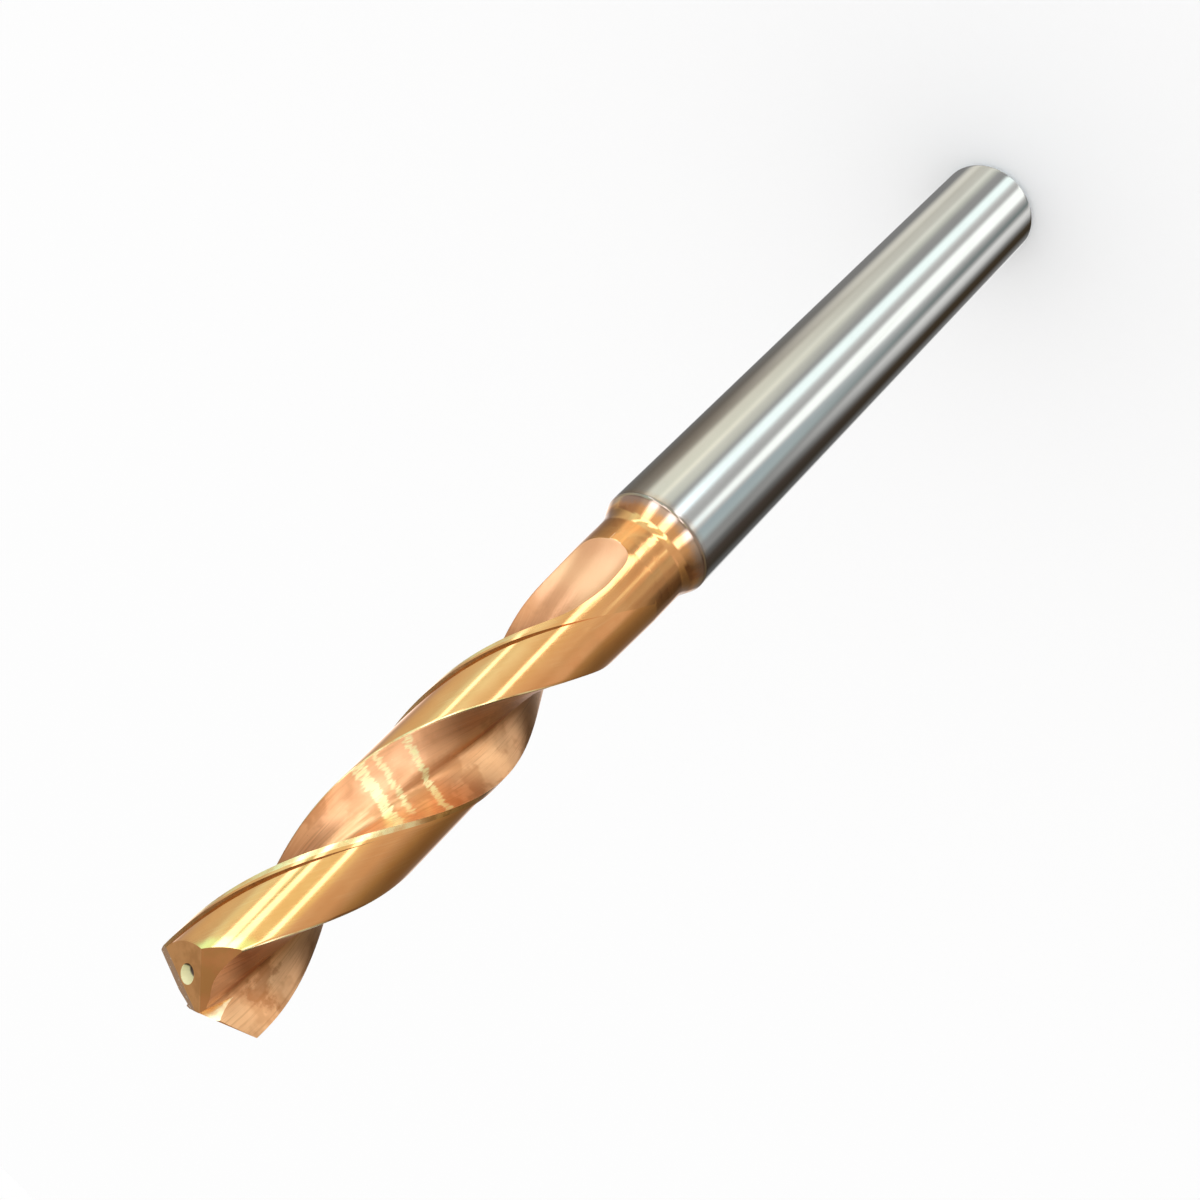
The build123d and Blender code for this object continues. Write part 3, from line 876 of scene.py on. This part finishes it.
def mix(f, a, b):
    n = t.node("Mix", data_type="RGBA")
    n.clamp_result = False
    t.put(n.inputs[0], f)
    t.put(n.inputs[6], a)
    t.put(n.inputs[7], b)
    return n.outputs[2]


tone = mix(t.rise(height, -49, -37), low_ring, mid_ring)
tone = mix(t.rise(height, -34, -28), tone, high_ring)
tone = mix(t.rise(height, -7, -2), tone, step_ring)
tone = mix(t.rise(height, 20, 28), tone, sky_ring)


def track(points):
    """Bearing of a lamp that leans: a curve of bearing over height."""
    n = t.node("ValToRGB")
    t.put(n.inputs[0], t.math("MULTIPLY_ADD", height, 1 / 180, 0.5))
    el = n.color_ramp.elements
    while len(el) > 1:
        el.remove(el[0])
    for i, (h, a) in enumerate(points):
        e = el[0] if i == 0 else el.new((h + 90) / 180)
        e.position = (h + 90) / 180
        v = (a + 180) / 360
        e.color = (v, v, v, 1)
    return t.math("MULTIPLY_ADD", n.outputs[0], 360.0, -180.0)


def lamp(tone, path, half, soft, h_lo, h_hi, h_soft, colour):
    off = t.math("ABSOLUTE", t.math("SUBTRACT", bearing, track(path)))
    if not isinstance(half, (int, float)):
        half = track(half)
    inside = t.node("MapRange", interpolation_type="SMOOTHSTEP")
    t.put(inside.inputs["Value"], off)
    if isinstance(half, (int, float)):
        inside.inputs["From Min"].default_value, inside.inputs["From Max"].default_value = half - soft, half + soft
    else:
        t.put(inside.inputs["From Min"], t.math("SUBTRACT", half, soft))
        t.put(inside.inputs["From Max"], t.math("ADD", half, soft))
    inside.inputs["To Min"].default_value, inside.inputs["To Max"].default_value = 1.0, 0.0
    f = t.math("MULTIPLY", inside.outputs[0], t.band(height, h_lo, h_hi, h_soft))
    return mix(f, tone, tuple(c * 0.5 for c in colour) + (1,))


# cards beside the step
tone = lamp(tone, [(-20, 98), (20, 98)], 22.0, 6.0, -13.5, -1, 1.5, (0.16, 0.13, 0.11))
tone = lamp(tone, [(-20, -100), (20, -100)], 25.0, 6.0, -9.5, 9, 1.5, (0.43, 0.42, 0.46))
# the flank of the lands towards the shank
tone = lamp(tone, [(-35, 57), (-20, 57)], 13.0, 8.0, -29.5, -24.5, 1.5, (0.73, 0.72, 0.76))
# the shank's stripes
tone = lamp(tone, [(-90, -12), (-30, -11.5)], 9.5, 5.0, -95, -34.4, 0.8, (1.42, 1.60, 1.60))
tone = lamp(tone, [(-90, 28), (-48, 28), (-36, 27)], [(-90, 14.5), (-46, 11.5), (-36, 5.5), (-30, 4.5)], 4.0,
            -95, -33.5, 1.5, (1.60, 1.66, 1.64))
# a yellowish haze behind the stripes near the point
tone = lamp(tone, [(-20, -5), (20, -5)], 24.0, 6.0, -16.5, -7, 1.5, (0.97, 1.22, 1.05))
tone = lamp(tone, [(-20, -41), (20, -41)], 13.0, 3.0, -17.0, -11, 1.5, (0.64, 1.02, 0.85))
# the stripes of the lands and the neck
tone = lamp(tone, [(-35, -12), (-33, -10), (-31.5, -6), (-30.8, -6), (-30.2, -11), (-29, -14)], [(-35, 8), (-30.5, 6.5), (-30, 5.5)], 1.6, -33.8, -29, 0.8, (3.4, 3.9, 4.6))
tone = lamp(tone, [(-30, -13), (-27, -11.5), (-13, 6), (-5, 2), (30, -3)], 4.6, 1.4, -30, -4, 1.0, (2.9, 3.3, 4.0))
tone = lamp(tone, [(-36, 27), (-30, 27)], 3.0, 2.0, -34.5, -30.5, 1.0, (1.1, 1.4, 1.5))
tone = lamp(tone, [(-30, -70), (-25, -67), (-19, -59), (-13, -49), (-9, -46)], [(-30, 4), (-17, 4), (-12, 7.5), (-9, 11)],
            1.6, -28.5, -4, 2.0, (2.7, 3.1, 3.8))
tone = lamp(tone, [(-25, -38), (-13, -31.5), (-9, -28)], [(-25, 3.5), (-17, 4), (-12, 6), (-9, 10)], 1.6, -18, -4, 2.0,
            (2.7, 3.1, 3.8))
# three lamps above the horizon, seen in the step between neck and shank
for centre in (-50, -11, 30):
    tone = lamp(tone, [(-20, centre), (30, centre)], 8.0, 5.0, -4, 24, 3, (2.6, 3.0, 3.8))

bg = t.node("Background")
bg.inputs["Strength"].default_value = 2.0
t.put(bg.inputs["Color"], tone)
plain = t.node("Background")
plain.inputs["Color"].default_value = (1, 1, 1, 1)
plain.inputs["Strength"].default_value = 1.0
ms = t.node("MixShader")
lp = t.node("LightPath")
t.put(ms.inputs[0], lp.outputs["Is Glossy Ray"])
t.put(ms.inputs[1], plain.outputs[0])
t.put(ms.inputs[2], bg.outputs[0])
ow = t.node("OutputWorld")
t.put(ow.inputs[0], ms.outputs[0])
sc.view_settings.view_transform = "Standard"
